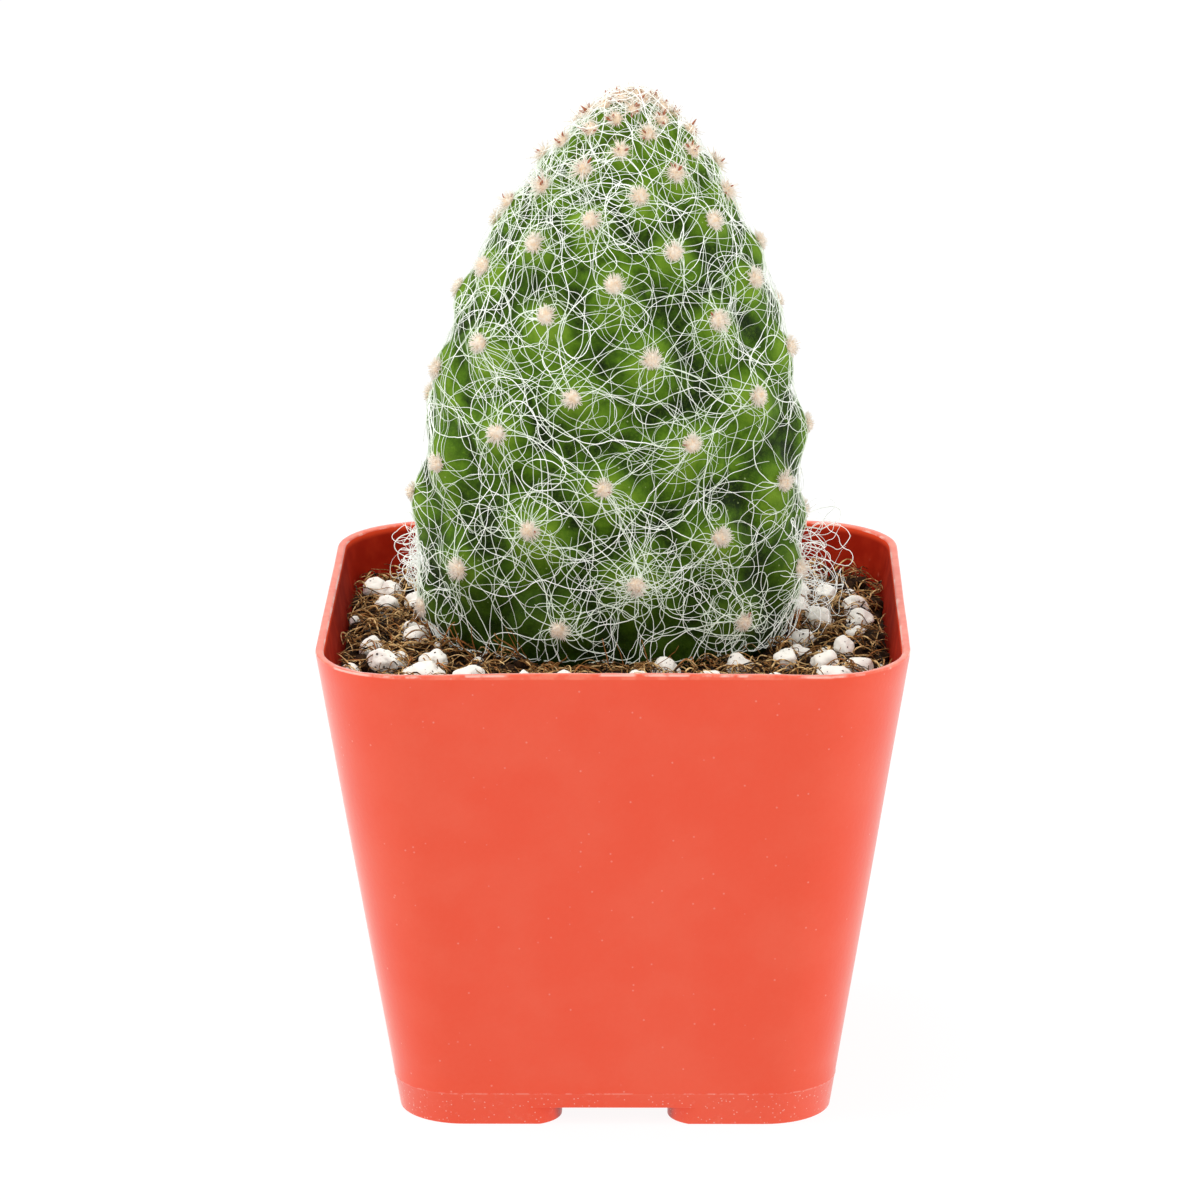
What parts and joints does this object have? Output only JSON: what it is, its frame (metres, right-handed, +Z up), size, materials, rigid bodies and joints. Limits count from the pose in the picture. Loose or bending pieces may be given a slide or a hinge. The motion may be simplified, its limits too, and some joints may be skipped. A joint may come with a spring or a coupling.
{
  "type": "potted prickly pear cactus",
  "caption": "Thick conical prickly pear pad with tubercles, cream areole tufts and long white hair spines, rooted in potting soil with perlite in a tapered square nursery pot.",
  "frame": {"origin": "middle of the pot's base, at the level the feet stand on", "axes": "+Z up the pot and plant; the pot's front face and the pad's flat face look towards -Y; +X to the right of the front"},
  "size_m": [0.0636, 0.0636, 0.1112],
  "materials": {
    "pot_plastic": "satin moulded plastic, salmon orange",
    "potting_soil": "brown coir and peat fibre, dull",
    "perlite": "white expanded grain with small dark pits",
    "cactus_skin": "green waxy skin, darker in the grooves",
    "areole_bristles": "cream bristle tufts",
    "hair_spines": "white hair, slightly translucent"
  },
  "bodies": {
    "root": {"pot": "pot_plastic", "soil": "potting_soil", "cactus_pad": "cactus_skin"}
  },
  "joints": []
}
